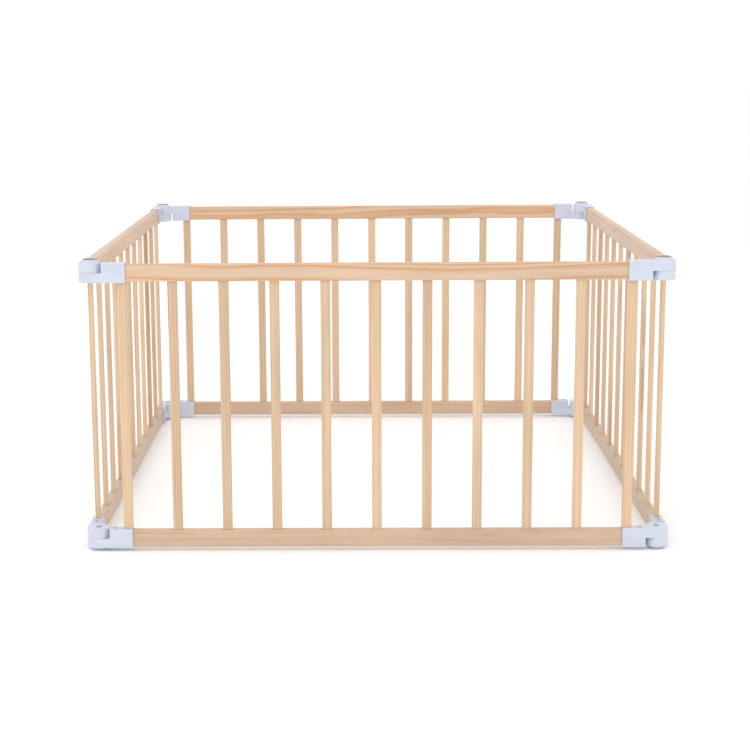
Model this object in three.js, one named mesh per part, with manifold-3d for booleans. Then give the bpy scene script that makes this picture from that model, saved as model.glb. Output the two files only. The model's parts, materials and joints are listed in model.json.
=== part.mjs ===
// Square wooden playpen: four slatted panels joined by plastic corner hinges.
// Millimetres, +Z up. The origin is on the floor under the middle of the pen.
// Each panel is drawn in its own frame: X runs from its left to its right hinge axis as seen from
// outside the pen, -Y points out of the pen, and the hinge axes lie in the plane Y = 0.
import * as THREE from "three";
import { mergeVertices } from "three/addons/utils/BufferGeometryUtils.js";
import Module from "manifold-3d";

const wasm = await Module();
wasm.setup();

// ---- Driving dimensions ----
const hingeSpacing = 1150;
const penHeight = 604;
const fitGap = 0.3;

const railHeight = 35;
const railThickness = 18;
const railEdgeRadius = 2.5;

const slatCount = 11;
const slatWidth = 19.5;
const slatThickness = 9;
const slatEdgeRadius = 2.5;
const endSlatOffset = 63.5;
const tenonDepth = 12;

const sleeveWall = 2.2;
const sleeveEdgeRadius = 1.6;
const sleeveEndWall = 3;
const slatReveal = 0.75;
const notchRelief = 0.7;

const knuckleRadius = 24;
const knuckleClearance = 4.3;
const knuckleFlat = 1.2;
const knuckleShoulder = 0;
const knuckleToSleeve = 1.5;
const knuckleParting = 0.3;
const knuckleEdgeRadius = 3;
const webFilletRadius = 18;
const bossShoulder = 6;
const bossTaper = 1.8;
const bossRim = 0.8;
const bossHeight = 5.4;

const pinRadius = 6;
const pinBoreGap = 0.4;
const pinHeadGap = 0.4;
const pinHeadThickness = 3;
const pinHeadProud = 0.6;
const pinHeadChamfer = 0.5;
const pinRecess = 10;

const screwOffset = 36.5;
const screwHoleRadius = 2.4;
const pilotHoleRadius = 1.6;
const pilotHoleDepth = 16;

// ---- Sizes that follow ----
const halfSpacing = hingeSpacing / 2;
const sleeveThickness = railThickness + 2 * (sleeveWall + fitGap);
const sleeveHeight = railHeight + 2 * (sleeveWall + fitGap);
const halfSleeve = sleeveHeight / 2;
const sleeveStart = knuckleRadius + knuckleToSleeve;
// How far the knuckle's flat inner wall lies from its axis, clear of the neighbour's sleeve.
const knuckleReach = sleeveStart - knuckleClearance;
const knuckleCornerRadius = knuckleReach - knuckleFlat;
const sleeveOpenEnd = endSlatOffset + slatWidth / 2 - slatReveal;
// The outer face of the sleeve is tangent to the knuckle, so the panel stands outside its axes.
const panelOffset = knuckleRadius - sleeveThickness / 2;
const innerFace = sleeveThickness - knuckleRadius;
const bossBaseRadius = knuckleRadius - bossShoulder;
const bossTipRadius = bossBaseRadius - bossTaper;
const pinHeadRadius = bossTipRadius - bossRim - pinHeadGap;
const footHeight = bossHeight + pinHeadProud;
const lowerRailLevel = footHeight + halfSleeve;
const upperRailLevel = penHeight - lowerRailLevel;
const railEnd = halfSpacing - sleeveStart - sleeveEndWall - fitGap;
const slatPitch = (hingeSpacing - 2 * endSlatOffset) / (slatCount - 1);
const slatBottom = lowerRailLevel + railHeight / 2 - tenonDepth;
const slatTop = upperRailLevel - railHeight / 2 + tenonDepth;
// These slats are one glued frame with the rails; the others are loose-tenoned between them.
const framedSlats = [1, (slatCount + 1) / 2, slatCount];

const cornerSegments = 1;
const roundSegments = 24;
const knuckleSegments = 3;
const pinSegments = 16;
const holeSegments = 8;
const overrun = 5;
// Points of an outline that are closer than this are one point.
const leastStep = 0.001;

// ---- Materials ----
const pine = new THREE.MeshStandardMaterial({ color: 0xe2c39c, roughness: 0.62, metalness: 0 });
const palePine = new THREE.MeshStandardMaterial({ color: 0xd8b68c, roughness: 0.62, metalness: 0 });
const whitePlastic = new THREE.MeshStandardMaterial({ color: 0xe4e9f2, roughness: 0.4, metalness: 0 });
const brownRubber = new THREE.MeshStandardMaterial({ color: 0xa98a80, roughness: 0.75, metalness: 0 });

// ---- Solids ----
function solidFrom(geometry) {
  const bare = geometry.clone();
  bare.deleteAttribute("normal");
  bare.deleteAttribute("uv");
  const merged = mergeVertices(bare, 1e-4);
  const vertProperties = new Float32Array(merged.attributes.position.array);
  const triVerts = new Uint32Array(merged.index.array);
  return new wasm.Manifold(new wasm.Mesh({ numProp: 3, vertProperties, triVerts }));
}

function geometryFrom(solid) {
  const mesh = solid.getMesh();
  const geometry = new THREE.BufferGeometry();
  geometry.setAttribute("position", new THREE.BufferAttribute(mesh.vertProperties, 3));
  geometry.setIndex(new THREE.BufferAttribute(mesh.triVerts, 1));
  return geometry.toNonIndexed();
}

// A rectangle of the given size about the origin, its corners rounded.
function roundedRectangle(width, height, radius) {
  const x = width / 2 - radius;
  const y = height / 2 - radius;
  const shape = new THREE.Shape();
  shape.absarc(x, y, radius, 0, Math.PI / 2);
  shape.absarc(-x, y, radius, Math.PI / 2, Math.PI);
  shape.absarc(-x, -y, radius, Math.PI, 1.5 * Math.PI);
  shape.absarc(x, -y, radius, 1.5 * Math.PI, 2 * Math.PI);
  return shape;
}

// A bar along X from one end to the other, centred on the given Y and Z.
function barAlongX(from, to, thickness, height, radius, centreY, centreZ) {
  const outline = roundedRectangle(height, thickness, radius);
  const options = { depth: to - from, bevelEnabled: false, curveSegments: cornerSegments };
  const geometry = new THREE.ExtrudeGeometry(outline, options);
  geometry.rotateY(Math.PI / 2);
  geometry.translate(from, centreY, centreZ);
  return solidFrom(geometry);
}

// A square-cornered block from one end to the other along X, centred on the given Y and Z.
function blockAlongX(from, to, thickness, height, centreY, centreZ) {
  const geometry = new THREE.BoxGeometry(to - from, thickness, height);
  geometry.translate((from + to) / 2, centreY, centreZ);
  return solidFrom(geometry);
}

// A bar along Z with a slat's section.
function slatBar(centreX) {
  const outline = roundedRectangle(slatWidth, slatThickness, slatEdgeRadius);
  const options = { depth: slatTop - slatBottom, bevelEnabled: false, curveSegments: cornerSegments };
  const geometry = new THREE.ExtrudeGeometry(outline, options);
  geometry.translate(centreX, -panelOffset, slatBottom);
  return solidFrom(geometry);
}

// The pair of mortises that a slat's ends stand in, as one block through both.
function mortises(centreX) {
  const halfWidth = slatWidth / 2 + fitGap;
  const height = slatTop - slatBottom + 2 * fitGap;
  const thickness = slatThickness + 2 * fitGap;
  const middle = (slatBottom + slatTop) / 2;
  return blockAlongX(centreX - halfWidth, centreX + halfWidth, thickness, height, -panelOffset, middle);
}

// A round solid about Z from [radius, level] pairs that go up its outside.
function turned(profile, segments) {
  const points = profile.map(([radius, level]) => new THREE.Vector2(radius, level));
  const geometry = new THREE.LatheGeometry(points, segments);
  geometry.rotateX(Math.PI / 2);
  return solidFrom(geometry);
}

function cylinder(radius, from, to, segments) {
  return turned([[0, from], [radius, from], [radius, to], [0, to]], segments);
}

// ---- Hinge bracket ----
// Drawn at a left hinge axis with Z = 0 at the rail's mid-height and its knuckle in the lower half.
// The right-hand brackets are the same mouldings turned over, half a turn about Y.

// The knuckle in plan: round about the axis at the pen's outer corner, flat-walled inside the pen,
// and swept into the sleeve's inner face by a concave fillet.
function knuckleOutline() {
  const cornerX = knuckleCornerRadius - knuckleRadius;
  const filletY = innerFace + webFilletRadius;
  const reach = knuckleCornerRadius + webFilletRadius;
  const rise = filletY - knuckleFlat;
  const filletX = knuckleShoulder + Math.sqrt(reach ** 2 - rise ** 2);
  const touchAngle = Math.asin(rise / reach);
  const endX = Math.max(filletX, sleeveStart) + sleeveEndWall / 2;
  const shape = new THREE.Shape();
  shape.moveTo(endX, -knuckleRadius);
  shape.lineTo(0, -knuckleRadius);
  shape.absarc(0, 0, knuckleRadius, 1.5 * Math.PI, Math.PI, true);
  shape.absarc(cornerX, knuckleFlat, knuckleCornerRadius, Math.PI, Math.PI / 2, true);
  shape.absarc(knuckleShoulder, knuckleFlat, knuckleCornerRadius, Math.PI / 2, touchAngle, true);
  shape.absarc(filletX, filletY, webFilletRadius, Math.PI + touchAngle, 1.5 * Math.PI, false);
  shape.lineTo(endX, innerFace);
  const points = shape.getPoints(knuckleSegments);
  const isApart = (point, i) => point.distanceTo(points[(i + 1) % points.length]) > leastStep;
  return new THREE.Shape(points.filter(isApart));
}

// The knuckle stops short of mid-height, where the neighbour's begins; its free edge is rounded.
function knuckleSolid() {
  const geometry = new THREE.ExtrudeGeometry(knuckleOutline(), {
    depth: halfSleeve,
    bevelThickness: knuckleEdgeRadius,
    bevelSize: knuckleEdgeRadius,
    bevelOffset: -knuckleEdgeRadius,
    bevelSegments: 2,
  });
  geometry.translate(0, 0, knuckleEdgeRadius - halfSleeve);
  const cutHeight = 2 * knuckleEdgeRadius + overrun;
  const cutReach = sleeveOpenEnd + overrun;
  const cutMiddle = (cutHeight - knuckleParting) / 2;
  return solidFrom(geometry).subtract(
    blockAlongX(-cutReach, cutReach, 2 * cutReach, cutHeight, 0, cutMiddle),
  );
}

// The slot in the sleeve's slat-side wall that the end slat stands in, round at its inner end.
function notchSolid(slatSide) {
  const halfWidth = slatThickness / 2 + fitGap + 0.1;
  const slatEdge = endSlatOffset - slatWidth / 2;
  const centreX = slatEdge + halfWidth - slatEdgeRadius + notchRelief;
  const shape = new THREE.Shape();
  shape.absarc(centreX, 0, halfWidth, Math.PI / 2, 1.5 * Math.PI);
  shape.lineTo(sleeveOpenEnd + overrun, -halfWidth);
  shape.lineTo(sleeveOpenEnd + overrun, halfWidth);
  shape.closePath();
  const depth = sleeveWall + overrun;
  const geometry = new THREE.ExtrudeGeometry(shape, { depth, bevelEnabled: false, curveSegments: 3 });
  const bottom = slatSide > 0 ? halfSleeve - sleeveWall - 1 : -halfSleeve - overrun + 1;
  geometry.translate(0, -panelOffset, bottom);
  return solidFrom(geometry);
}

// slatSide is +1 where the slats are above the rail and -1 where they are below it.
// A bracket whose knuckle is on the far side from the slats carries the boss for the pin's head.
function bracketSolid(slatSide) {
  const sleeve = barAlongX(
    sleeveStart, sleeveOpenEnd, sleeveThickness, sleeveHeight, sleeveEdgeRadius, -panelOffset, 0,
  );
  const pocket = blockAlongX(
    sleeveStart + sleeveEndWall, sleeveOpenEnd + overrun,
    railThickness + 2 * fitGap, railHeight + 2 * fitGap, -panelOffset, 0,
  );
  const screwHole = cylinder(screwHoleRadius, 0, halfSleeve + overrun, holeSegments)
    .rotate([slatSide > 0 ? 0 : 180, 0, 0])
    .translate([screwOffset, -panelOffset, 0]);
  const bore = cylinder(pinRadius + pinBoreGap, -halfSleeve - footHeight - overrun, overrun, pinSegments);
  let solid = sleeve.add(knuckleSolid());
  if (slatSide > 0) {
    const bossTip = -halfSleeve - bossHeight;
    const boss = turned(
      [[0, bossTip], [bossTipRadius, bossTip], [bossBaseRadius, -halfSleeve],
        [bossBaseRadius, -halfSleeve + 1], [0, -halfSleeve + 1]],
      roundSegments,
    );
    const seatLevel = bossTip + pinHeadThickness - pinHeadProud + fitGap;
    const seat = cylinder(pinHeadRadius + pinHeadGap, bossTip - overrun, seatLevel, roundSegments);
    solid = solid.add(boss).subtract(seat);
  }
  return solid.subtract(bore).subtract(pocket).subtract(notchSolid(slatSide)).subtract(screwHole);
}

// ---- Hinge pin ----
// Drawn head down in the same place as the lower left bracket.
function pinSolid() {
  const headFace = -halfSleeve - footHeight;
  const profile = [
    [0, headFace],
    [pinHeadRadius - pinHeadChamfer, headFace],
    [pinHeadRadius, headFace + pinHeadChamfer],
    [pinHeadRadius, headFace + pinHeadThickness],
    [pinRadius, headFace + pinHeadThickness],
    [pinRadius, halfSleeve - pinRecess],
    [0, halfSleeve - pinRecess],
  ];
  return turned(profile, pinSegments);
}

// ---- Wooden frame and slats ----
const slatX = (number) => -halfSpacing + endSlatOffset + (number - 1) * slatPitch;

function frameSolid() {
  let solid = null;
  for (const level of [lowerRailLevel, upperRailLevel]) {
    const rail = barAlongX(
      -railEnd, railEnd, railThickness, railHeight, railEdgeRadius, -panelOffset, level,
    );
    solid = solid ? solid.add(rail) : rail;
  }
  for (let number = 1; number <= slatCount; number++) {
    if (framedSlats.includes(number)) {
      solid = solid.add(slatBar(slatX(number)));
    } else {
      solid = solid.subtract(mortises(slatX(number)));
    }
  }
  for (const side of [-1, 1]) {
    const pilot = cylinder(pilotHoleRadius, railHeight / 2 - pilotHoleDepth, halfSleeve, holeSegments);
    const x = side * (halfSpacing - screwOffset);
    solid = solid.subtract(pilot.translate([x, -panelOffset, lowerRailLevel]));
    solid = solid.subtract(pilot.rotate([180, 0, 0]).translate([x, -panelOffset, upperRailLevel]));
  }
  return solid;
}

// ---- Panels ----
const frameGeometry = geometryFrom(frameSolid());
const slatGeometry = geometryFrom(slatBar(0));
const outerBracketGeometry = geometryFrom(bracketSolid(1));
const innerBracketGeometry = geometryFrom(bracketSolid(-1));
const pinGeometry = geometryFrom(pinSolid());

function place(group, name, geometry, material, x, z) {
  const mesh = new THREE.Mesh(geometry, material);
  mesh.name = name;
  mesh.position.set(x, 0, z);
  group.add(mesh);
}

// The fittings of a panel's left end, or of its right end once the group is turned over.
function addFittings(group, side, outerEnd, innerEnd, end) {
  const z = lowerRailLevel - penHeight / 2;
  const x = -halfSpacing;
  place(group, `${side}_bracket_${outerEnd}_${end}`, outerBracketGeometry, whitePlastic, x, z);
  place(group, `${side}_bracket_${innerEnd}_${end}`, innerBracketGeometry, whitePlastic, x, -z);
  place(group, `${side}_pin_${outerEnd}`, pinGeometry, brownRubber, x, z);
}

function panel(side) {
  const group = new THREE.Group();
  place(group, `${side}_frame`, frameGeometry, pine, 0, 0);
  for (let number = 2; number < slatCount; number++) {
    if (framedSlats.includes(number)) continue;
    const label = String(number).padStart(2, "0");
    place(group, `${side}_slat_${label}`, slatGeometry, palePine, slatX(number), 0);
  }
  const leftEnd = new THREE.Group();
  leftEnd.position.z = penHeight / 2;
  addFittings(leftEnd, side, "bottom", "top", "left");
  const rightEnd = new THREE.Group();
  rightEnd.position.z = penHeight / 2;
  rightEnd.rotation.y = Math.PI;
  addFittings(rightEnd, side, "top", "bottom", "right");
  group.add(leftEnd, rightEnd);
  return group;
}

const playpen = new THREE.Group();
["front", "right", "back", "left"].forEach((side, quarter) => {
  const turn = new THREE.Group();
  turn.rotation.z = (quarter * Math.PI) / 2;
  const one = panel(side);
  one.position.y = -halfSpacing;
  turn.add(one);
  playpen.add(turn);
});

export default playpen;
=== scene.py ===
import json
import logging
import math
import random
from dataclasses import dataclass
from enum import Enum

import bmesh
import bpy
from mathutils import Matrix, Vector


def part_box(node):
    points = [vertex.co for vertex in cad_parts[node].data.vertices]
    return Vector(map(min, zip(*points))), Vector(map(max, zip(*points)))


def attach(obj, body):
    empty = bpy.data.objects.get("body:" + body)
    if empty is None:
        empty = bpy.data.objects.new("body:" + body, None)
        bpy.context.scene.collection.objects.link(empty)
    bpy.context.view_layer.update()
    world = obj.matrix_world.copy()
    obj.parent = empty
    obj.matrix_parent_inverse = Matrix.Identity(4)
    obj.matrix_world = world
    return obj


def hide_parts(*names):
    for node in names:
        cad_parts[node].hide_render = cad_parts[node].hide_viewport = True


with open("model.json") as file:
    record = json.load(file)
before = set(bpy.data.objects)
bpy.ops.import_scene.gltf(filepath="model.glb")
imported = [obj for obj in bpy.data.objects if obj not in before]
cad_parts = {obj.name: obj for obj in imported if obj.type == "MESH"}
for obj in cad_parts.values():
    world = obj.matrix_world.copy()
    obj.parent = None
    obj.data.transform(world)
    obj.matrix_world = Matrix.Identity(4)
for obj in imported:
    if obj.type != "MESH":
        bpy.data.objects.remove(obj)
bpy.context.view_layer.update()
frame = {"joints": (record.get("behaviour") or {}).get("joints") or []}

log = logging.getLogger("playpen")

SLAT_COUNT = 11
FRAMED_SLATS = (1, 6, 11)
FULL_TURN = 2 * math.pi
ROUND_STEPS = 72
HOLE_STEPS = 48
SCREW_STEPS = 40
EDGE_SEGMENTS = 5
END_STOP = 0.0033  # a sleeve's end wall and the gap between it and the rail
OVERSHOOT = 0.005  # how far a cutter runs past the face that it opens
LAP = 0.001  # how far one shape reaches into the next before they are joined or cut
WOOD_CREASE = math.radians(50)
LEVEL_TOLERANCE = 1e-5
MERGE_DISTANCE = 1e-6
CUT_DISTANCE = 1e-7
PARALLEL = 0.999
NO_KNOT = (9.0, 9.0, 9.0)  # metres away from any board
FLOOR_DROP = 0.0003


class Named(Enum):
    """A choice whose name is part of node names."""

    @property
    def word(self) -> str:
        """The name as it stands in node names."""
        return self.name.lower()


class Side(Named):
    """The four panels, by the number of quarter turns from the front."""

    FRONT = 0
    RIGHT = 1
    BACK = 2
    LEFT = 3

    @property
    def body(self) -> str:
        """The CAD body that the panel's pieces ride on."""
        return f"{self.word}_panel"


class Level(Named):
    """The lower or the upper rail of a panel."""

    BOTTOM = -1
    TOP = 1


class End(Named):
    """The left or the right end of a panel, as seen from outside the pen."""

    LEFT = -1
    RIGHT = 1


@dataclass(frozen=True)
class Sizes:
    """The sizes that the pieces share, in metres, read from the frame where it has them."""

    half_spacing: float
    height: float
    rail_half_length: float
    rail_thickness: float
    offset: float
    slat_width: float
    slat_thickness: float
    slat_bottom: float
    slat_top: float
    lower_rail: float
    sleeve_start: float
    sleeve_open_end: float
    sleeve_height: float
    foot_height: float
    rail_height: float = 0.035
    knuckle_radius: float = 0.024
    fit_gap: float = 0.0003
    end_slat_offset: float = 0.0635
    screw_offset: float = 0.0365

    @classmethod
    def from_frame(cls) -> "Sizes":
        """Reads the sizes from the front panel's CAD nodes.

        Returns:
            The sizes of the pen.
        """
        half_spacing = abs(frame["joints"][0]["pos_m"][0])
        rail_low, rail_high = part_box("front_frame")
        slat_low, slat_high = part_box("front_slat_02")
        sleeve_low, sleeve_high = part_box("front_bracket_top_left")
        foot_low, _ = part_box("front_pin_bottom")
        lower_low, lower_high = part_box("front_bracket_bottom_right")
        return cls(
            half_spacing=half_spacing,
            height=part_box("front_pin_top")[1].z,
            rail_half_length=rail_high.x,
            rail_thickness=rail_high.y - rail_low.y,
            offset=-half_spacing - (rail_low.y + rail_high.y) / 2,
            slat_width=slat_high.x - slat_low.x,
            slat_thickness=slat_high.y - slat_low.y,
            slat_bottom=slat_low.z,
            slat_top=slat_high.z,
            lower_rail=(lower_low.z + lower_high.z) / 2,
            sleeve_start=half_spacing - rail_high.x - END_STOP,
            sleeve_open_end=sleeve_high.x + half_spacing,
            sleeve_height=sleeve_high.z - sleeve_low.z,
            foot_height=lower_low.z - foot_low.z,
        )

    @property
    def sleeve_thickness(self) -> float:
        """The thickness of a bracket's sleeve, whose outer face is tangent to the knuckle."""
        return 2 * (self.knuckle_radius - self.offset)

    @property
    def inner_face(self) -> float:
        """How far the sleeve's inner face lies inside the plane of the hinge axes."""
        return self.sleeve_thickness - self.knuckle_radius

    def slat_x(self, number: int) -> float:
        """The place of a slat's middle along its panel.

        Args:
            number: The slat's number from the left, from 1.

        Returns:
            Its distance from the panel's middle.
        """
        span = 2 * (self.half_spacing - self.end_slat_offset)
        return -span / 2 + (number - 1) * span / (SLAT_COUNT - 1)

    def rail_z(self, level: Level) -> float:
        """The height of a rail's middle above the floor."""
        return self.lower_rail if level is Level.BOTTOM else self.height - self.lower_rail


def placed(name: str, data: bpy.types.ID) -> bpy.types.Object:
    """Makes an object of some data and links it to the scene."""
    made = bpy.data.objects.new(name, data)
    bpy.context.scene.collection.objects.link(made)
    return made


# ---- Shader building ----
Socket = bpy.types.NodeSocket
Colour = tuple[float, float, float, float]
Stretch = tuple[float, float, float]


class NodeGraph:
    """Adds nodes to a node tree with short calls."""

    def __init__(self, tree: bpy.types.NodeTree) -> None:
        """Starts on an emptied tree."""
        self.tree = tree
        tree.nodes.clear()

    def node(self, kind: str, inputs: dict | None = None, **settings: object) -> bpy.types.Node:
        """Adds one node.

        Args:
            kind: The node's type name.
            inputs: Values or output sockets by input name or number.
            settings: Attributes of the node.

        Returns:
            The node.
        """
        made = self.tree.nodes.new(kind)
        for name, value in settings.items():
            setattr(made, name, value)
        for name, value in (inputs or {}).items():
            if isinstance(value, Socket):
                self.tree.links.new(value, made.inputs[name])
            else:
                made.inputs[name].default_value = value
        return made

    def math(self, operation: str, *values: object) -> Socket:
        """Adds a Math node and returns its output."""
        return self.node("ShaderNodeMath", dict(enumerate(values)), operation=operation).outputs[0]

    def vector_math(self, operation: str, *values: object) -> Socket:
        """Adds a Vector Math node and returns its vector output."""
        return self.node("ShaderNodeVectorMath", dict(enumerate(values)), operation=operation).outputs[0]

    def attribute(self, name: str) -> Socket:
        """Reads a vector attribute of the mesh."""
        return self.node("ShaderNodeAttribute", attribute_name=name).outputs["Vector"]

    def object_place(self) -> Socket:
        """Reads the Object coordinates."""
        return self.node("ShaderNodeTexCoord").outputs["Object"]

    def grey(self, value: Socket) -> Socket:
        """Makes a grey of one value."""
        return self.node("ShaderNodeCombineXYZ", {0: value, 1: value, 2: value}).outputs[0]

    def bump(self, height: Socket, strength: float, distance: float) -> Socket:
        """Adds a Bump node and returns its normal."""
        inputs = {"Height": height, "Strength": strength, "Distance": distance}
        return self.node("ShaderNodeBump", inputs).outputs[0]

    def effect(self, group: bpy.types.NodeTree, inputs: dict) -> bpy.types.bpy_prop_collection:
        """Places a shader node group and returns its outputs."""
        return self.node("ShaderNodeGroup", inputs, node_tree=group).outputs

    def mix(self, factor: object, first: object, second: object, blend: str = "MIX") -> Socket:
        """Mixes two colours and returns the result."""
        inputs = {0: factor, 6: first, 7: second}
        return self.node("ShaderNodeMix", inputs, data_type="RGBA", blend_type=blend).outputs[2]

    def noise(self, vector: Socket, scale: object, detail: float, rough: float = 0.5) -> Socket:
        """Adds a noise texture and returns its value, from 0 to 1."""
        inputs = {"Vector": vector, "Scale": scale, "Detail": detail, "Roughness": rough}
        return self.node("ShaderNodeTexNoise", inputs).outputs[0]

    def ramp(self, value: Socket, stops: list[tuple[float, float]]) -> Socket:
        """Adds a grey ramp.

        Args:
            value: The value that is looked up.
            stops: Pairs of position and grey.

        Returns:
            The grey, as a colour socket.
        """
        made = self.node("ShaderNodeValToRGB", {0: value})
        elements = made.color_ramp.elements
        while len(elements) < len(stops):
            elements.new(1.0)
        for element, (position, grey) in zip(elements, stops):
            element.position = position
            element.color = (grey, grey, grey, 1.0)
        return made.outputs[0]

    def remap(self, value: Socket, low: float, high: float, to_low: float, to_high: float) -> Socket:
        """Maps one range of a value smoothly onto another."""
        inputs = {0: value, 1: low, 2: high, 3: to_low, 4: to_high}
        return self.node("ShaderNodeMapRange", inputs, interpolation_type="SMOOTHSTEP").outputs[0]


def new_group(
    name: str, vectors: tuple, values: tuple, outputs: tuple,
) -> tuple[bpy.types.NodeTree, NodeGraph]:
    """Starts a shader node group with named sockets.

    Args:
        name: The group's name.
        vectors: The names of its vector inputs.
        values: The names of its number inputs.
        outputs: The names of its outputs, which are numbers.

    Returns:
        The group and a graph to fill it with.
    """
    tree = bpy.data.node_groups.new(name, "ShaderNodeTree")
    for direction, kind, names in (
        ("INPUT", "NodeSocketVector", vectors),
        ("INPUT", "NodeSocketFloat", values),
        ("OUTPUT", "NodeSocketFloat", outputs),
    ):
        for socket_name in names:
            tree.interface.new_socket(name=socket_name, in_out=direction, socket_type=kind)
    return tree, NodeGraph(tree)


@dataclass(frozen=True)
class WoodFigure:
    """How the figure of a board is stretched along, across and through it, and a knot's size."""

    drift: Stretch = (1.6, 9.0, 9.0)
    ripple: Stretch = (7.0, 30.0, 30.0)
    fine: Stretch = (14.0, 900.0, 900.0)
    coarse: Stretch = (5.0, 240.0, 240.0)
    patch: Stretch = (4.0, 22.0, 22.0)
    knot_stretch: Stretch = (0.62, 1.0, 0.25)
    knot_core: float = 0.0022
    knot_rim: float = 0.0052
    knot_reach: float = 0.022
    knot_pull: float = 0.006
    ripple_depth: float = 0.0035
    faintest_year: float = 0.35


def wood_figure_group(look: WoodFigure) -> bpy.types.NodeTree:
    """Growth rings, fibres, patches and knots of a board, from its own coordinates.

    Args:
        look: The stretches and widths of the figure.

    Returns:
        A group whose Board input runs along, across and through the board in metres.
    """
    tree, g = new_group(
        "wood_figure", ("Board", "Knot"), ("Ring Width", "Waviness"),
        ("Rings", "Fibres", "Patches", "Knots"),
    )
    given = g.node("NodeGroupInput").outputs
    slow = g.vector_math("MULTIPLY", given["Board"], look.drift)
    drift = g.math("SUBTRACT", g.noise(slow, 1.0, 2.0, 0.45), 0.5)
    ripple_place = g.vector_math("MULTIPLY", given["Board"], look.ripple)
    ripple = g.math("SUBTRACT", g.noise(ripple_place, 1.0, 2.0, 0.5), 0.5)
    place = g.node("ShaderNodeSeparateXYZ", {0: given["Board"]}).outputs
    knot_place = g.vector_math("MULTIPLY", given["Knot"], look.knot_stretch)
    knot_distance = g.node("ShaderNodeVectorMath", {0: knot_place}, operation="LENGTH").outputs["Value"]
    knot_near = g.remap(knot_distance, 0.0, look.knot_reach, 1.0, 0.0)
    across = g.math("MULTIPLY_ADD", drift, given["Waviness"], place["Y"])
    across_squared = g.math("MULTIPLY", across, across)
    depth_squared = g.math("MULTIPLY", place["Z"], place["Z"])
    radius = g.math("SQRT", g.math("ADD", across_squared, depth_squared))
    radius = g.math("ADD", radius, g.math("MULTIPLY", ripple, look.ripple_depth))
    radius = g.math("ADD", radius, g.math("MULTIPLY", knot_near, look.knot_pull))
    count = g.math("DIVIDE", radius, given["Ring Width"])
    phase = g.math("FRACT", count)
    ring = g.ramp(phase, [(0.0, 0.0), (0.35, 0.12), (0.72, 0.55), (0.88, 1.0), (1.0, 0.0)])
    year = g.node("ShaderNodeTexWhiteNoise", {"W": g.math("FLOOR", count)}, noise_dimensions="1D").outputs[0]
    ring = g.math("MULTIPLY", ring, g.remap(year, 0.0, 1.0, look.faintest_year, 1.0))
    fine = g.vector_math("MULTIPLY", given["Board"], look.fine)
    coarse = g.vector_math("MULTIPLY", given["Board"], look.coarse)
    fibres = g.math("ADD", g.math("MULTIPLY", g.noise(fine, 1.0, 3.0, 0.6), 0.6),
                    g.math("MULTIPLY", g.noise(coarse, 1.0, 2.0, 0.5), 0.4))
    patch_place = g.vector_math("MULTIPLY", given["Board"], look.patch)
    outputs = {
        "Rings": ring,
        "Fibres": g.remap(fibres, 0.3, 0.7, 0.0, 1.0),
        "Patches": g.noise(patch_place, 1.0, 2.0, 0.5),
        "Knots": g.remap(knot_distance, look.knot_core, look.knot_rim, 1.0, 0.0),
    }
    g.node("NodeGroupOutput", outputs)
    return tree


def edge_wear_group() -> bpy.types.NodeTree:
    """Where an edge has been rubbed, broken up by a fine noise.

    Returns:
        A group with a Wear output from 0 to 1.
    """
    tree, g = new_group("edge_wear", (), ("Radius", "Breakup"), ("Wear",))
    given = g.node("NodeGroupInput").outputs
    soft = g.node("ShaderNodeBevel", {"Radius": given["Radius"]}, samples=4).outputs[0]
    true_normal = g.node("ShaderNodeNewGeometry").outputs["True Normal"]
    flatness = g.node("ShaderNodeVectorMath", {0: soft, 1: true_normal}, operation="DOT_PRODUCT")
    edge = g.remap(flatness.outputs["Value"], 0.86, 0.995, 1.0, 0.0)
    place = g.object_place()
    spots = g.remap(g.noise(place, given["Breakup"], 3.0, 0.6), 0.35, 0.65, 0.25, 1.0)
    g.node("NodeGroupOutput", {"Wear": g.math("MULTIPLY", edge, spots)})
    return tree


def moulded_grain_group() -> bpy.types.NodeTree:
    """The fine spark texture and slow flow marks of a moulding.

    Returns:
        A group with Spark, Flow and Dust outputs from 0 to 1.
    """
    tree, g = new_group("moulded_grain", (), ("Spark Scale", "Flow Scale"), ("Spark", "Flow", "Dust"))
    given = g.node("NodeGroupInput").outputs
    place = g.object_place()
    spark = g.noise(place, given["Spark Scale"], 2.0, 0.6)
    stretched = g.vector_math("MULTIPLY", place, (1.0, 1.0, 2.2))
    flow = g.noise(stretched, given["Flow Scale"], 3.0, 0.55)
    dust = g.remap(g.noise(place, 140.0, 4.0, 0.7), 0.56, 0.78, 0.0, 1.0)
    g.node("NodeGroupOutput", {"Spark": spark, "Flow": flow, "Dust": dust})
    return tree


def surface(name: str) -> tuple[bpy.types.Material, NodeGraph]:
    """Starts a material with an empty node graph."""
    material = bpy.data.materials.new(name)
    material.use_nodes = True
    return material, NodeGraph(material.node_tree)


def finish_surface(g: NodeGraph, inputs: dict) -> None:
    """Adds the Principled shader and the output."""
    shader = g.node("ShaderNodeBsdfPrincipled", inputs)
    g.node("ShaderNodeOutputMaterial", {0: shader.outputs[0]})


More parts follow.
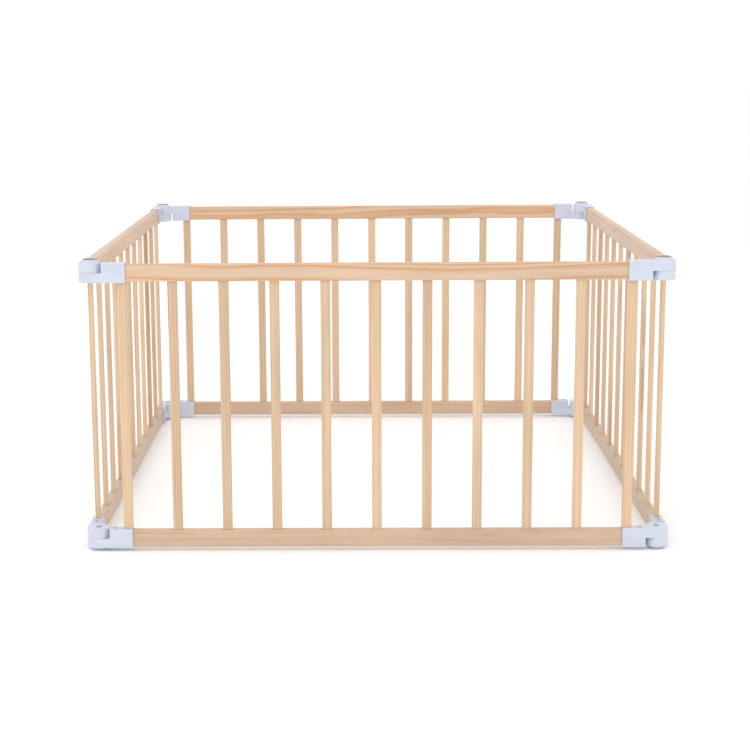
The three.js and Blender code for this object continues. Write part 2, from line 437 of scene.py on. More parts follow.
@dataclass(frozen=True)
class PineFinish:
    """Sanded and lightly oiled pine, whose figure follows each board."""

    name: str
    pale: Colour
    late: Colour
    red: Colour
    ring_width: float
    waviness: float
    ring_strength: float
    knot: Colour = (0.16, 0.062, 0.025, 1.0)

    def build(self, figure: bpy.types.NodeTree, wear: bpy.types.NodeTree) -> bpy.types.Material:
        """Makes the material.

        Args:
            figure: The wood figure group.
            wear: The edge wear group.

        Returns:
            The material, which reads the attributes board, knot and tone.
        """
        material, g = surface(self.name)
        tones = g.node("ShaderNodeSeparateXYZ", {0: g.attribute("tone")}).outputs
        marks = g.effect(figure, {"Board": g.attribute("board"), "Knot": g.attribute("knot"),
                                  "Ring Width": self.ring_width, "Waviness": self.waviness})
        rings = g.math("MULTIPLY", marks["Rings"], g.math("MULTIPLY", tones["Z"], self.ring_strength))
        colour = g.mix(rings, self.pale, self.late)
        colour = g.mix(tones["Y"], colour, self.red)
        fibre_shade = g.remap(marks["Fibres"], 0.0, 1.0, 0.925, 1.045)
        patch_shade = g.remap(marks["Patches"], 0.3, 0.7, 0.94, 1.05)
        # tones X is the board's own tone; on a bottom rail it also darkens the colour as painted shade.
        shade = g.math("MULTIPLY", g.math("MULTIPLY", fibre_shade, patch_shade), tones["X"])
        colour = g.mix(1.0, colour, g.grey(shade), "MULTIPLY")
        colour = g.mix(g.math("MULTIPLY", marks["Knots"], 0.85), colour, self.knot)
        worn = g.effect(wear, {"Radius": 0.0016, "Breakup": 60.0})["Wear"]
        colour = g.mix(g.math("MULTIPLY", worn, 0.22), colour, self.pale)
        roughness = g.math("ADD", g.remap(marks["Fibres"], 0.0, 1.0, 0.5, 0.62),
                           g.math("MULTIPLY", rings, -0.06))
        height = g.math("ADD", g.math("MULTIPLY", marks["Fibres"], 0.35),
                        g.math("MULTIPLY", rings, 0.5))
        finish_surface(g, {"Base Color": colour, "Roughness": roughness,
                           "Normal": g.bump(height, strength=0.32, distance=0.0003),
                           "Specular IOR Level": 0.5, "Coat Weight": 0.08, "Coat Roughness": 0.35})
        return material


@dataclass(frozen=True)
class PlasticFinish:
    """Bluish white moulded plastic with a fine spark texture."""

    name: str
    base: Colour
    worn: Colour
    dust: Colour

    def build(self, grain: bpy.types.NodeTree, wear: bpy.types.NodeTree) -> bpy.types.Material:
        """Makes the material.

        Args:
            grain: The moulded grain group.
            wear: The edge wear group.

        Returns:
            The material.
        """
        material, g = surface(self.name)
        marks = g.effect(grain, {"Spark Scale": 1500.0, "Flow Scale": 26.0})
        worn = g.effect(wear, {"Radius": 0.0009, "Breakup": 90.0})["Wear"]
        flow = g.remap(marks["Flow"], 0.3, 0.7, 0.965, 1.02)
        colour = g.mix(1.0, self.base, g.grey(flow), "MULTIPLY")
        colour = g.mix(g.math("MULTIPLY", worn, 0.4), colour, self.worn)
        colour = g.mix(g.math("MULTIPLY", marks["Dust"], 0.10), colour, self.dust)
        roughness = g.math("ADD", g.remap(marks["Flow"], 0.3, 0.7, 0.34, 0.46),
                           g.math("MULTIPLY", worn, -0.08))
        height = g.math("ADD", marks["Spark"], g.math("MULTIPLY", marks["Flow"], 0.6))
        finish_surface(g, {"Base Color": colour, "Roughness": roughness,
                           "Normal": g.bump(height, strength=0.16, distance=0.0002),
                           "Specular IOR Level": 0.5, "Subsurface Weight": 0.06,
                           "Subsurface Radius": (0.002, 0.002, 0.0026)})
        return material


@dataclass(frozen=True)
class RubberFinish:
    """The matt brown, slightly mottled face of a pin's head."""

    name: str
    base: Colour
    dark: Colour
    rubbed: Colour

    def build(self, grain: bpy.types.NodeTree, wear: bpy.types.NodeTree) -> bpy.types.Material:
        """Makes the material.

        Args:
            grain: The moulded grain group.
            wear: The edge wear group.

        Returns:
            The material.
        """
        material, g = surface(self.name)
        marks = g.effect(grain, {"Spark Scale": 900.0, "Flow Scale": 70.0})
        worn = g.effect(wear, {"Radius": 0.0008, "Breakup": 150.0})["Wear"]
        colour = g.mix(g.remap(marks["Flow"], 0.35, 0.7, 0.0, 0.55), self.base, self.dark)
        rubbed = g.math("MULTIPLY", g.math("ADD", worn, marks["Dust"]), 0.16)
        colour = g.mix(rubbed, colour, self.rubbed)
        roughness = g.remap(marks["Spark"], 0.3, 0.7, 0.62, 0.82)
        height = g.math("ADD", marks["Spark"], g.math("MULTIPLY", marks["Flow"], 0.4))
        finish_surface(g, {"Base Color": colour, "Roughness": roughness,
                           "Normal": g.bump(height, strength=0.4, distance=0.0003),
                           "Specular IOR Level": 0.3})
        return material


@dataclass(frozen=True)
class SteelFinish:
    """Zinc plated screw steel with a warm tint and a fine grain."""

    name: str
    base: Colour
    dull: Colour
    bright: Colour

    def build(self, grain: bpy.types.NodeTree, wear: bpy.types.NodeTree) -> bpy.types.Material:
        """Makes the material.

        Args:
            grain: The moulded grain group.
            wear: The edge wear group.

        Returns:
            The material.
        """
        material, g = surface(self.name)
        marks = g.effect(grain, {"Spark Scale": 2400.0, "Flow Scale": 240.0})
        worn = g.effect(wear, {"Radius": 0.0004, "Breakup": 400.0})["Wear"]
        colour = g.mix(g.remap(marks["Flow"], 0.35, 0.7, 0.0, 0.6), self.base, self.dull)
        colour = g.mix(g.math("MULTIPLY", worn, 0.4), colour, self.bright)
        roughness = g.remap(marks["Flow"], 0.3, 0.7, 0.26, 0.44)
        finish_surface(g, {"Base Color": colour, "Roughness": roughness, "Metallic": 1.0,
                           "Normal": g.bump(marks["Spark"], strength=0.15, distance=0.0001)})
        return material


class Finishes:
    """All materials of the pen, made once."""

    def __init__(self) -> None:
        """Builds the shared groups and every material."""
        figure = wood_figure_group(WoodFigure())
        wear = edge_wear_group()
        grain = moulded_grain_group()
        self.rail = PineFinish(
            "pine_rail", pale=(0.655, 0.475, 0.340, 1), late=(0.60, 0.30, 0.13, 1),
            red=(0.52, 0.26, 0.14, 1), ring_width=0.0065, waviness=0.055, ring_strength=1.35,
        ).build(figure, wear)
        self.side_rail = PineFinish(
            "pine_side_rail", pale=(0.645, 0.495, 0.375, 1), late=(0.58, 0.34, 0.20, 1),
            red=(0.52, 0.28, 0.17, 1), ring_width=0.0062, waviness=0.045, ring_strength=0.8,
        ).build(figure, wear)
        self.slat = PineFinish(
            "pine_slat", pale=(0.700, 0.530, 0.362, 1), late=(0.55, 0.31, 0.14, 1),
            red=(0.45, 0.20, 0.10, 1), ring_width=0.0036, waviness=0.012, ring_strength=1.35,
        ).build(figure, wear)
        self.plastic = PlasticFinish(
            "white_plastic", base=(0.575, 0.612, 0.715, 1), worn=(0.68, 0.71, 0.78, 1),
            dust=(0.5, 0.48, 0.45, 1),
        ).build(grain, wear)
        self.rubber = RubberFinish(
            "brown_foot", base=(0.40, 0.235, 0.195, 1), dark=(0.26, 0.14, 0.11, 1),
            rubbed=(0.62, 0.5, 0.46, 1),
        ).build(grain, wear)
        self.steel = SteelFinish(
            "screw_steel", base=(0.62, 0.57, 0.56, 1), dull=(0.46, 0.41, 0.40, 1),
            bright=(0.9, 0.86, 0.82, 1),
        ).build(grain, wear)


# ---- Mesh building ----
def add_block(bm: bmesh.types.BMesh, low: Vector, high: Vector) -> None:
    """Adds a box between two corners."""
    size = high - low
    matrix = Matrix.Translation((low + high) / 2) @ Matrix.Diagonal((*size, 1.0))
    bmesh.ops.create_cube(bm, size=1.0, matrix=matrix)


def bevel(bm: bmesh.types.BMesh, edges: list, width: float, segments: int) -> None:
    """Rounds edges with the settings that the editor would use."""
    bmesh.ops.bevel(
        bm, geom=edges, offset=width, offset_type="OFFSET", affect="EDGES", segments=segments,
        profile=0.5, material=-1, clamp_overlap=True,
    )


def edges_along(bm: bmesh.types.BMesh, axis: int) -> list:
    """The edges that run parallel to one axis."""
    found = []
    for edge in bm.edges:
        run = edge.verts[1].co - edge.verts[0].co
        if abs(run[axis]) > PARALLEL * run.length:
            found.append(edge)
    return found


def mesh_from(bm: bmesh.types.BMesh, name: str) -> bpy.types.Mesh:
    """Cleans a bmesh, closes it into a mesh and frees it.

    Args:
        bm: The finished bmesh.
        name: The mesh's name.

    Returns:
        The mesh, smooth shaded.
    """
    bmesh.ops.remove_doubles(bm, verts=bm.verts, dist=MERGE_DISTANCE)
    bmesh.ops.recalc_face_normals(bm, faces=bm.faces)
    for face in bm.faces:
        face.smooth = True
    mesh = bpy.data.meshes.new(name)
    bm.to_mesh(mesh)
    bm.free()
    return mesh


def turned(name: str, profile: list[tuple[float, float]], steps: int = ROUND_STEPS) -> bpy.types.Mesh:
    """Spins an outline about Z.

    Args:
        name: The mesh's name.
        profile: Pairs of radius and height that start and end on the axis.
        steps: The number of steps round.

    Returns:
        A closed mesh.
    """
    bm = bmesh.new()
    verts = [bm.verts.new((radius, 0.0, level)) for radius, level in profile]
    edges = [bm.edges.new(pair) for pair in zip(verts, verts[1:])]
    bmesh.ops.spin(
        bm, geom=verts + edges, cent=(0, 0, 0), axis=(0, 0, 1), dvec=(0, 0, 0), angle=FULL_TURN,
        steps=steps, use_merge=True, use_normal_flip=False, use_duplicate=False,
    )
    return mesh_from(bm, name)


def arc(centre: tuple[float, float], radius: float, start: float, end: float, steps: int) -> list:
    """Points on an arc.

    Args:
        centre: The arc's centre.
        radius: Its radius.
        start: The angle of the first point, in degrees.
        end: The angle of the last point, in degrees.
        steps: The number of steps between them.

    Returns:
        The points, both ends included.
    """
    points = []
    for i in range(steps + 1):
        angle = math.radians(start + (end - start) * i / steps)
        points.append((centre[0] + radius * math.cos(angle), centre[1] + radius * math.sin(angle)))
    return points


def raised(outline: list, bottom: float, top: float) -> tuple[bmesh.types.BMesh, list]:
    """Raises a plan outline between two heights.

    Args:
        outline: The corners of the outline, in order.
        bottom: The lower height.
        top: The upper height.

    Returns:
        The bmesh and the edges round its bottom.
    """
    bm = bmesh.new()
    face = bm.faces.new([bm.verts.new((x, y, bottom)) for x, y in outline])
    rim = list(face.edges)
    made = bmesh.ops.extrude_face_region(bm, geom=[face])["geom"]
    lifted = [item for item in made if isinstance(item, bmesh.types.BMVert)]
    bmesh.ops.translate(bm, verts=lifted, vec=(0, 0, top - bottom))
    return bm, rim


def applied(mesh: bpy.types.Mesh, *modifiers: tuple[str, dict]) -> bpy.types.Mesh:
    """A mesh with modifiers applied.

    Args:
        mesh: The starting mesh.
        modifiers: Pairs of modifier type and its settings.

    Returns:
        The new mesh, with the old one's name.
    """
    holder = placed("holder", mesh)
    for kind, settings in modifiers:
        modifier = holder.modifiers.new(kind.lower(), kind)
        for key, value in settings.items():
            setattr(modifier, key, value)
    graph = bpy.context.evaluated_depsgraph_get()
    made = bpy.data.meshes.new_from_object(holder.evaluated_get(graph))
    bpy.data.objects.remove(holder)
    made.name = mesh.name
    return made


def combined(base: bpy.types.Mesh, joins: list, cuts: list) -> bpy.types.Mesh:
    """Joins closed meshes into one, then cuts others out of it.

    Args:
        base: The first mesh.
        joins: The meshes to add, in order.
        cuts: The meshes to cut away, in order.

    Returns:
        The resulting closed mesh.
    """
    tools = []
    modifiers = []
    for operation, meshes in (("UNION", joins), ("DIFFERENCE", cuts)):
        for mesh in meshes:
            tool = placed("tool", mesh)
            tools.append(tool)
            modifiers.append(("BOOLEAN", {"operation": operation, "object": tool, "solver": "EXACT"}))
    made = applied(base, *modifiers)
    for tool in tools:
        bpy.data.objects.remove(tool)
    return made


def edge_angles(mesh: bpy.types.Mesh) -> list[float]:
    """The angle between the two faces at each edge, in the order of the edges."""
    bm = bmesh.new()
    bm.from_mesh(mesh)
    bm.edges.ensure_lookup_table()
    angles = [edge.calc_face_angle(0.0) for edge in bm.edges]
    bm.free()
    return angles


@dataclass
class Bracket:
    """One hinge bracket: a sleeve over a rail's end and a half-height knuckle swept into it.

    Drawn at a left-hand hinge axis with Z = 0 at the rail's mid-height and the knuckle in the
    lower half.
    """

    sizes: Sizes
    wall: float = 0.0022
    end_wall: float = 0.003
    parting: float = 0.0003
    edge: float = 0.0016
    knuckle_edge: float = 0.003
    clearance: float = 0.0043
    flat: float = 0.0012
    shoulder: float = 0.0
    web_fillet: float = 0.018
    boss_base: float = 0.018
    boss_tip: float = 0.0162
    boss_rim: float = 0.0008
    head_proud: float = 0.0006
    head_radius: float = 0.015
    head_thickness: float = 0.003
    head_gap: float = 0.0004
    bore_radius: float = 0.0064
    screw_hole: float = 0.0024
    notch_play: float = 0.0001
    notch_setback: float = 0.0025
    notch_relief: float = 0.0007
    softened: float = 0.00045
    sharp_angle: float = math.radians(38)
    shaded_angle: float = math.radians(55)
    parting_weight: float = 0.25

    @property
    def half(self) -> float:
        """Half the sleeve's height."""
        return self.sizes.sleeve_height / 2

    def sleeve(self) -> bpy.types.Mesh:
        """The sleeve's outer block, rounded on its long edges."""
        s = self.sizes
        bm = bmesh.new()
        low = Vector((s.sleeve_start, -s.knuckle_radius, -self.half))
        high = Vector((s.sleeve_open_end, s.inner_face, self.half))
        add_block(bm, low, high)
        bevel(bm, edges_along(bm, 0), self.edge, EDGE_SEGMENTS)
        return mesh_from(bm, "sleeve")

    def pocket(self) -> bpy.types.Mesh:
        """The hollow that the rail's end fills."""
        s = self.sizes
        bm = bmesh.new()
        half_rail = s.rail_thickness / 2 + s.fit_gap
        half_height = s.rail_height / 2 + s.fit_gap
        low = Vector((s.sleeve_start + self.end_wall, -s.offset - half_rail, -half_height))
        high = Vector((s.sleeve_open_end + 2 * OVERSHOOT, -s.offset + half_rail, half_height))
        add_block(bm, low, high)
        return mesh_from(bm, "pocket")

    def knuckle(self) -> bpy.types.Mesh:
        """The half-height hinge knuckle, round about its axis and swept into the sleeve.

        Returns:
            A closed mesh whose lower edge is rounded and whose parting face is flat.
        """
        s = self.sizes
        radius = s.knuckle_radius
        corner = s.sleeve_start - self.clearance - self.flat
        fillet_y = s.inner_face + self.web_fillet
        reach = corner + self.web_fillet
        rise = fillet_y - self.flat
        fillet_x = self.shoulder + math.sqrt(reach ** 2 - rise ** 2)
        touch = math.degrees(math.asin(rise / reach))
        end_x = max(fillet_x, s.sleeve_start) + self.end_wall / 2
        outline = [
            (end_x, -radius),
            *arc((0, 0), radius, 270, 180, 24),
            *arc((corner - radius, self.flat), corner, 180, 90, 20),
            *arc((self.shoulder, self.flat), corner, 90, touch, 16),
            *arc((fillet_x, fillet_y), self.web_fillet, 180 + touch, 270, 16)[1:],
            (end_x, s.inner_face),
        ]
        bm, rim = raised(outline, -self.half, -self.parting / 2)
        bevel(bm, rim, self.knuckle_edge, EDGE_SEGMENTS + 1)
        return mesh_from(bm, "knuckle")

    def notch(self, slat_side: int) -> bpy.types.Mesh:
        """The slot for the end slat, round at its inner end."""
        s = self.sizes
        half_width = s.slat_thickness / 2 + s.fit_gap + self.notch_play
        slat_edge = s.end_slat_offset - s.slat_width / 2
        centre = slat_edge + half_width - self.notch_setback + self.notch_relief
        rounded = arc((centre, -s.offset), half_width, 90, 270, 16)
        far = s.sleeve_open_end + 2 * OVERSHOOT
        outline = [*rounded, (far, -s.offset - half_width), (far, -s.offset + half_width)]
        inside = self.half - self.wall - LAP
        outside = self.half + OVERSHOOT
        bottom, top = (inside, outside) if slat_side > 0 else (-outside, -inside)
        return mesh_from(raised(outline, bottom, top)[0], "notch")

    def hole(self, radius: float, x: float, y: float, bottom: float, top: float) -> bpy.types.Mesh:
        """A round cutter about an upright axis."""
        mesh = turned("hole", [(0, bottom), (radius, bottom), (radius, top), (0, top)], HOLE_STEPS)
        mesh.transform(Matrix.Translation((x, y, 0)))
        return mesh

    def build(self, slat_side: int) -> bpy.types.Mesh:
        """Makes the moulding.

        Args:
            slat_side: 1 where the slats stand above the rail, with the foot boss, or -1 below it.

        Returns:
            A closed mesh with softened edges.
        """
        s = self.sizes
        cuts = []
        joins = [self.knuckle()]
        deepest = -self.half - s.foot_height - OVERSHOOT
        if slat_side > 0:
            tip = -self.half - s.foot_height + self.head_proud
            root = -self.half + LAP
            profile = [(0, tip), (self.boss_tip - self.boss_rim, tip),
                       (self.boss_tip, tip + self.boss_rim), (self.boss_base, -self.half),
                       (self.boss_base, root), (0, root)]
            joins.append(turned("boss", profile))
            seat = tip + self.head_thickness - self.head_proud + s.fit_gap
            head_radius = self.head_radius + self.head_gap
            cuts.append(self.hole(head_radius, 0, 0, deepest, seat))
        through = self.half + OVERSHOOT
        hole_span = (0, through) if slat_side > 0 else (-through, 0)
        cuts += [
            self.hole(self.bore_radius, 0, 0, deepest, OVERSHOOT), self.pocket(), self.notch(slat_side),
            self.hole(self.screw_hole, s.screw_offset, -s.offset, *hole_span),
        ]
        solid = combined(self.sleeve(), joins, cuts)
        weights = solid.attributes.new("bevel_weight_edge", "FLOAT", "EDGE")
        crisp = -self.parting / 2
        angles = edge_angles(solid)
        for edge in solid.edges:
            levels = [solid.vertices[i].co.z for i in edge.vertices]
            on_parting = all(abs(level - crisp) < LEVEL_TOLERANCE for level in levels)
            if angles[edge.index] > self.sharp_angle:
                weights.data[edge.index].value = self.parting_weight if on_parting else 1.0
        made = applied(solid, ("BEVEL", {"width": self.softened, "segments": 2,
                                         "limit_method": "WEIGHT", "use_clamp_overlap": True}))
        made.set_sharp_from_angle(angle=self.shaded_angle)
        return made


@dataclass
class HingePin:
    """A hinge pin with a flat brown head, drawn head down like the lower left bracket."""

    sizes: Sizes
    radius: float = 0.006
    head_radius: float = 0.015
    head_thickness: float = 0.003
    recess: float = 0.010
    rim: float = 0.0007
    face_ring: float = 0.55
    back_edge: float = 0.0003
    neck: float = 0.0006
    tip_chamfer: float = 0.0008

    def build(self) -> bpy.types.Mesh:
        """Spins the pin's outline.

        Returns:
            A closed mesh.
        """
        half = self.sizes.sleeve_height / 2
        face = -half - self.sizes.foot_height
        back = face + self.head_thickness
        top = half - self.recess
        profile = [(0, face), (self.head_radius * self.face_ring, face),
                   *arc((self.head_radius - self.rim, face + self.rim), self.rim, -90, 0, 4),
                   (self.head_radius, back - self.back_edge),
                   (self.head_radius - self.back_edge, back),
                   (self.radius + self.neck, back), (self.radius, back + self.neck),
                   (self.radius, top - self.tip_chamfer), (self.radius - self.tip_chamfer, top),
                   (0, top)]
        return turned("hinge_pin", profile)


@dataclass
class Screw:
    """A pan-head screw with a cross recess, drawn head up with its seat at Z = 0."""

    head_radius: float = 0.0044
    head_height: float = 0.0019
    shank_radius: float = 0.0014
    length: float = 0.017
    point: float = 0.003
    dome_angles: tuple[float, ...] = (0, 20, 40, 60, 75)
    dome_power: float = 0.8
    cross_long: float = 0.0024
    cross_narrow: float = 0.0005
    cross_depth: float = 0.0012

    def build(self) -> bpy.types.Mesh:
        """Spins the screw and cuts its cross.

        Returns:
            A closed mesh.
        """
        angles = [math.radians(degrees) for degrees in self.dome_angles]
        dome = [(self.head_radius * math.cos(angle),
                 self.head_height * math.sin(angle) ** self.dome_power) for angle in angles]
        profile = [(0, -self.length), (self.shank_radius, -self.length + self.point),
                   (self.shank_radius, 0), *dome, (0, self.head_height)]
        body = turned("screw", profile, SCREW_STEPS)
        cuts = []
        for half_x, half_y in ((self.cross_long, self.cross_narrow), (self.cross_narrow, self.cross_long)):
            bm = bmesh.new()
            add_block(bm, Vector((-half_x, -half_y, self.head_height - self.cross_depth)),
                      Vector((half_x, half_y, self.head_height + LAP)))
            cuts.append(mesh_from(bm, "slot"))
        return combined(body, [], cuts)


@dataclass(frozen=True)
class BoardLook:
    """What makes one board differ from the next: its tone (on a bottom rail also painted shade), redness,
    figure and where it was cut.
    """

    tone: float
    redness: float
    figure: float
    pith: tuple[float, float]
    along: float
    knot: tuple[float, float, float] | None = None


class Timber:
    """Draws the look of each board from one seeded stream.

    A slat in RED_SLATS has that redness in place of the one drawn for it, and a rail in KNOTS has
    a knot there, measured along, across and through it from its middle.
    """

    RED_SLATS = {(Side.LEFT, 3): 0.5, (Side.RIGHT, 9): 0.42, (Side.FRONT, 9): 0.0}
    KNOTS = {(Side.RIGHT, Level.TOP): (0.05, 0.006, 0.009)}

    def __init__(self, seed: int) -> None:
        """Starts the stream."""
        self.stream = random.Random(seed)

    def rail(self, side: Side, level: Level) -> BoardLook:
        """A flat-sawn rail; at the bottom its figure is fainter, so it looks paler and pinker, and its darker
        tone is painted shade.
        """
        draw = self.stream.uniform
        # A bottom rail's lower tone is painted shade, darker than any top rail's.
        tone = draw(0.98, 1.03) if level is Level.TOP else draw(0.87, 0.91)
        figure = draw(0.85, 1.0) if level is Level.TOP else draw(0.3, 0.45)
        return BoardLook(tone, draw(0.0, 0.06), figure, (draw(-0.01, 0.01), draw(0.022, 0.034)),
                         draw(0, 9), self.KNOTS.get((side, level)))

    def slat(self, side: Side, number: int) -> BoardLook:
        """A slat, with straight grain and a tone of its own."""
        draw = self.stream.uniform
        redness = self.RED_SLATS.get((side, number), draw(0.0, 0.10))
        return BoardLook(draw(0.88, 1.06), redness, draw(0.6, 1.0),
                         (draw(0.02, 0.06), draw(0.0, 0.03)), draw(0, 9))


def lay_grain(mesh: bpy.types.Mesh, axes: tuple[int, int, int], centre: Vector, look: BoardLook) -> None:
    """Writes the attributes that the pine finish reads.

    Args:
        mesh: The board's mesh, in its panel's frame.
        axes: Which of X, Y and Z run along, across and through the board.
        centre: The board's middle.
        look: The board's look.
    """
    knot = Vector(look.knot or NO_KNOT)
    board_at = mesh.attributes.new("board", "FLOAT_VECTOR", "POINT")
    knot_at = mesh.attributes.new("knot", "FLOAT_VECTOR", "POINT")
    tone_at = mesh.attributes.new("tone", "FLOAT_VECTOR", "POINT")
    shift = Vector((look.along, look.pith[0], look.pith[1]))
    for vert in mesh.vertices:
        own = vert.co - centre
        local = Vector((own[axes[0]], own[axes[1]], own[axes[2]]))
        board_at.data[vert.index].vector = local + shift
        knot_at.data[vert.index].vector = local - knot
        tone_at.data[vert.index].vector = (look.tone, look.redness, look.figure)


@dataclass
class Panel:
    """One side of the pen: two rails, eleven slats, four brackets, two pins and four screws."""

    side: Side
    sizes: Sizes
    finishes: Finishes
    timber: Timber
    brackets: dict[int, bpy.types.Mesh]
    pin: bpy.types.Mesh
    screw: bpy.types.Mesh
    rail_edge: float = 0.0025
    slat_edge: float = 0.0025
    tenon_gap: float = 0.0003

    @property
    def place(self) -> Matrix:
        """Takes the panel's own frame to the pen's frame."""
        turn = Matrix.Rotation(self.side.value * math.pi / 2, 4, "Z")
        return turn @ Matrix.Translation((0, -self.sizes.half_spacing, 0))

    def add(
        self, mesh: bpy.types.Mesh, name: str, node: str, slot: str, material: bpy.types.Material,
    ) -> None:
        """Puts a piece of the panel in the scene.

        Args:
            mesh: Its mesh, in the panel's frame.
            name: What the piece is, without its side.
            node: The CAD node that it stands for, without its side.
            slot: Its material slot in the record, which is not used.
            material: Its finish.
        """
        mesh.transform(self.place)
        mesh.materials.clear()
        mesh.materials.append(material)
        piece = placed(f"{self.side.word}_{name}", mesh)
        mesh.name = piece.name
        shading = piece.modifiers.new("shading", "WEIGHTED_NORMAL")
        shading.keep_sharp = True
        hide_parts(f"{self.side.word}_{node}")
        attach(piece, self.side.body)
        log.info("%s: %d faces", piece.name, len(mesh.polygons))

    def rail_mesh(self, level: Level) -> bpy.types.Mesh:
        """A rail with rounded edges and a blind mortise for every slat."""
        s = self.sizes
        z = s.rail_z(level)
        half = s.rail_height / 2
        bm = bmesh.new()
        low = Vector((-s.rail_half_length, -s.offset - s.rail_thickness / 2, z - half))
        high = Vector((s.rail_half_length, -s.offset + s.rail_thickness / 2, z + half))
        add_block(bm, low, high)
        bevel(bm, edges_along(bm, 0), self.rail_edge, EDGE_SEGMENTS)
        half_width = s.slat_width / 2 + self.tenon_gap
        half_thick = s.slat_thickness / 2 + self.tenon_gap
        cuts = [((0, -s.offset + sign * half_thick, 0), (0, 1, 0)) for sign in (-1, 1)]
        for number in range(1, SLAT_COUNT + 1):
            cuts += [((s.slat_x(number) + sign * half_width, 0, 0), (1, 0, 0)) for sign in (-1, 1)]
        for point, normal in cuts:
            geometry = bm.verts[:] + bm.edges[:] + bm.faces[:]
            bmesh.ops.bisect_plane(bm, geom=geometry, plane_co=point, plane_no=normal, dist=CUT_DISTANCE)
        slat_face = z - level.value * half
        depth = s.slat_top - (s.rail_z(Level.TOP) - half) + self.tenon_gap
        seats = []
        for face in bm.faces:
            middle = face.calc_center_median()
            over = any(abs(middle.x - s.slat_x(n)) < half_width for n in range(1, SLAT_COUNT + 1))
            if abs(middle.z - slat_face) < LEVEL_TOLERANCE and abs(middle.y + s.offset) < half_thick and over:
                seats.append(face)
        sunk = bmesh.ops.extrude_discrete_faces(bm, faces=seats)["faces"]
        verts = list({vert for face in sunk for vert in face.verts})
        bmesh.ops.translate(bm, verts=verts, vec=(0, 0, level.value * depth))
        mesh = mesh_from(bm, "rail")
        mesh.set_sharp_from_angle(angle=WOOD_CREASE)
        centre = Vector((0, -s.offset, z))
        lay_grain(mesh, (0, 2, 1), centre, self.timber.rail(self.side, level))
        return mesh

    def slat_mesh(self, number: int) -> bpy.types.Mesh:
        """A slat with rounded long edges."""
        s = self.sizes
        x = s.slat_x(number)
        bm = bmesh.new()
        low = Vector((x - s.slat_width / 2, -s.offset - s.slat_thickness / 2, s.slat_bottom))
        high = Vector((x + s.slat_width / 2, -s.offset + s.slat_thickness / 2, s.slat_top))
        add_block(bm, low, high)
        bevel(bm, edges_along(bm, 2), self.slat_edge, EDGE_SEGMENTS)
        mesh = mesh_from(bm, "slat")
        mesh.set_sharp_from_angle(angle=WOOD_CREASE)
        centre = Vector((x, -s.offset, (s.slat_bottom + s.slat_top) / 2))
        lay_grain(mesh, (2, 0, 1), centre, self.timber.slat(self.side, number))
        return mesh

    def end_place(self, end: End, height: float) -> Matrix:
        """Where a fitting drawn at a left end goes: there, or turned over to the right end."""
        s = self.sizes
        left = Matrix.Translation((-s.half_spacing, 0, height))
        if end is End.LEFT:
            return left
        middle = Matrix.Translation((0, 0, s.height / 2))
        return middle @ Matrix.Rotation(math.pi, 4, "Y") @ middle.inverted() @ left

    def add_fittings(self, end: End) -> None:
        """Adds the brackets, the pin and the screws of one end.

        Args:
            end: The panel's left or right end.
        """
        s = self.sizes
        outer, inner = (Level.BOTTOM, Level.TOP) if end is End.LEFT else (Level.TOP, Level.BOTTOM)
        low, high = s.rail_z(Level.BOTTOM), s.rail_z(Level.TOP)
        seat = s.sleeve_height / 2
        for slat_side, level, height in ((1, outer, low), (-1, inner, high)):
            place = self.end_place(end, height)
            mesh = self.brackets[slat_side].copy()
            mesh.transform(place)
            node = f"bracket_{level.word}_{end.word}"
            self.add(mesh, node, node, "white_plastic", self.finishes.plastic)
            flip = Matrix.Identity(4) if slat_side > 0 else Matrix.Rotation(math.pi, 4, "X")
            spot = Matrix.Translation((s.screw_offset, -s.offset, slat_side * seat))
            mesh = self.screw.copy()
            mesh.transform(place @ spot @ flip)
            self.add(mesh, f"screw_{level.word}_{end.word}", node, "screw_steel", self.finishes.steel)
        mesh = self.pin.copy()
        mesh.transform(self.end_place(end, low))
        self.add(mesh, f"pin_{outer.word}", f"pin_{outer.word}", "brown_foot", self.finishes.rubber)

    def build(self) -> None:
        """Makes every piece of the panel."""
        for level in Level:
            finish = self.finishes.side_rail if self.side in (Side.LEFT, Side.RIGHT) else self.finishes.rail
            self.add(self.rail_mesh(level), f"rail_{level.word}", "frame", "pine", finish)
        for number in range(1, SLAT_COUNT + 1):
            node = "frame" if number in FRAMED_SLATS else f"slat_{number:02d}"
            self.add(self.slat_mesh(number), f"slat_{number:02d}", node, "pine", self.finishes.slat)
        for end in End:
            self.add_fittings(end)


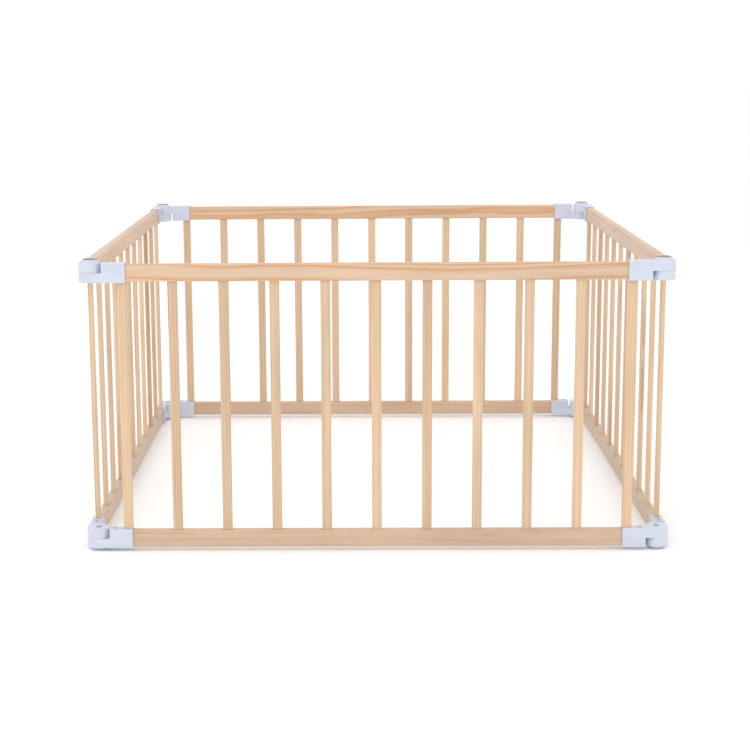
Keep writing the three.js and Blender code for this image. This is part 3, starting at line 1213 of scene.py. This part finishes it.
# ---- Studio ----
@dataclass(frozen=True)
class Studio:
    """The camera, the floor and the lights."""

    place: tuple[float, float, float] = (-0.0314, -3.6042, 1.0016)
    pitch: float = 0.1713
    yaw: float = -0.0139
    roll: float = -0.0068
    lens: float = 73.12
    shift: tuple[float, float] = (0.0467, -0.0733)
    far_clip: float = 200.0
    floor_radius: float = 40.0
    sky: float = 1.05
    aim: tuple[float, float, float] = (0.0, 0.0, 0.3)

    def add_camera(self) -> None:
        """Stands the camera in front of the pen, a little above its top."""
        data = bpy.data.cameras.new("camera")
        data.lens = self.lens
        data.shift_x, data.shift_y = self.shift
        data.clip_end = self.far_clip
        camera = placed("camera", data)
        turn = Matrix.Rotation(-self.yaw, 4, "Z") @ Matrix.Rotation(math.pi / 2 - self.pitch, 4, "X")
        camera.matrix_world = Matrix.Translation(self.place) @ turn @ Matrix.Rotation(self.roll, 4, "Z")
        bpy.context.scene.camera = camera

    def add_floor(self) -> None:
        """Lays a wide pale floor under the feet."""
        bm = bmesh.new()
        bmesh.ops.create_circle(bm, cap_ends=True, radius=self.floor_radius, segments=64)
        mesh = mesh_from(bm, "floor")
        material, g = surface("pale_floor")
        place = g.object_place()
        tint = g.remap(g.noise(place, 1.5, 3.0), 0.3, 0.7, 0.965, 0.975)
        finish_surface(g, {"Base Color": g.grey(tint), "Roughness": 0.9, "Specular IOR Level": 0.1})
        mesh.materials.append(material)
        floor = placed("floor", mesh)
        floor.location.z = -FLOOR_DROP

    def add_light(self, name: str, place: tuple, size: float, power: float) -> None:
        """Adds one soft square light that faces the pen's middle."""
        data = bpy.data.lights.new(name, "AREA")
        data.size = size
        data.energy = power
        light = placed(name, data)
        aim = Vector(self.aim) - Vector(place)
        light.matrix_world = Matrix.Translation(place) @ aim.to_track_quat("-Z", "Y").to_matrix().to_4x4()

    def build(self) -> None:
        """Sets up the whole studio."""
        world = bpy.data.worlds.new("studio")
        world.use_nodes = True
        background = world.node_tree.nodes["Background"]
        background.inputs[0].default_value = (1.0, 1.0, 1.0, 1.0)
        background.inputs[1].default_value = self.sky
        bpy.context.scene.world = world
        bpy.context.scene.view_settings.view_transform = "Standard"
        self.add_camera()
        self.add_floor()
        self.add_light("key", (-2.2, -3.0, 3.6), size=2.6, power=40.0)
        self.add_light("fill", (3.0, -2.4, 2.6), size=2.4, power=16.0)


def main() -> None:
    """Builds the studio and the pen."""
    logging.basicConfig(level=logging.INFO, format="%(name)s %(message)s")
    Studio().build()
    sizes = Sizes.from_frame()
    finishes = Finishes()
    timber = Timber(seed=7)
    bracket = Bracket(sizes)
    brackets = {slat_side: bracket.build(slat_side) for slat_side in (1, -1)}
    pin = HingePin(sizes).build()
    screw = Screw().build()
    for side in Side:
        Panel(side, sizes, finishes, timber, brackets, pin, screw).build()


if __name__ == "__main__":
    main()
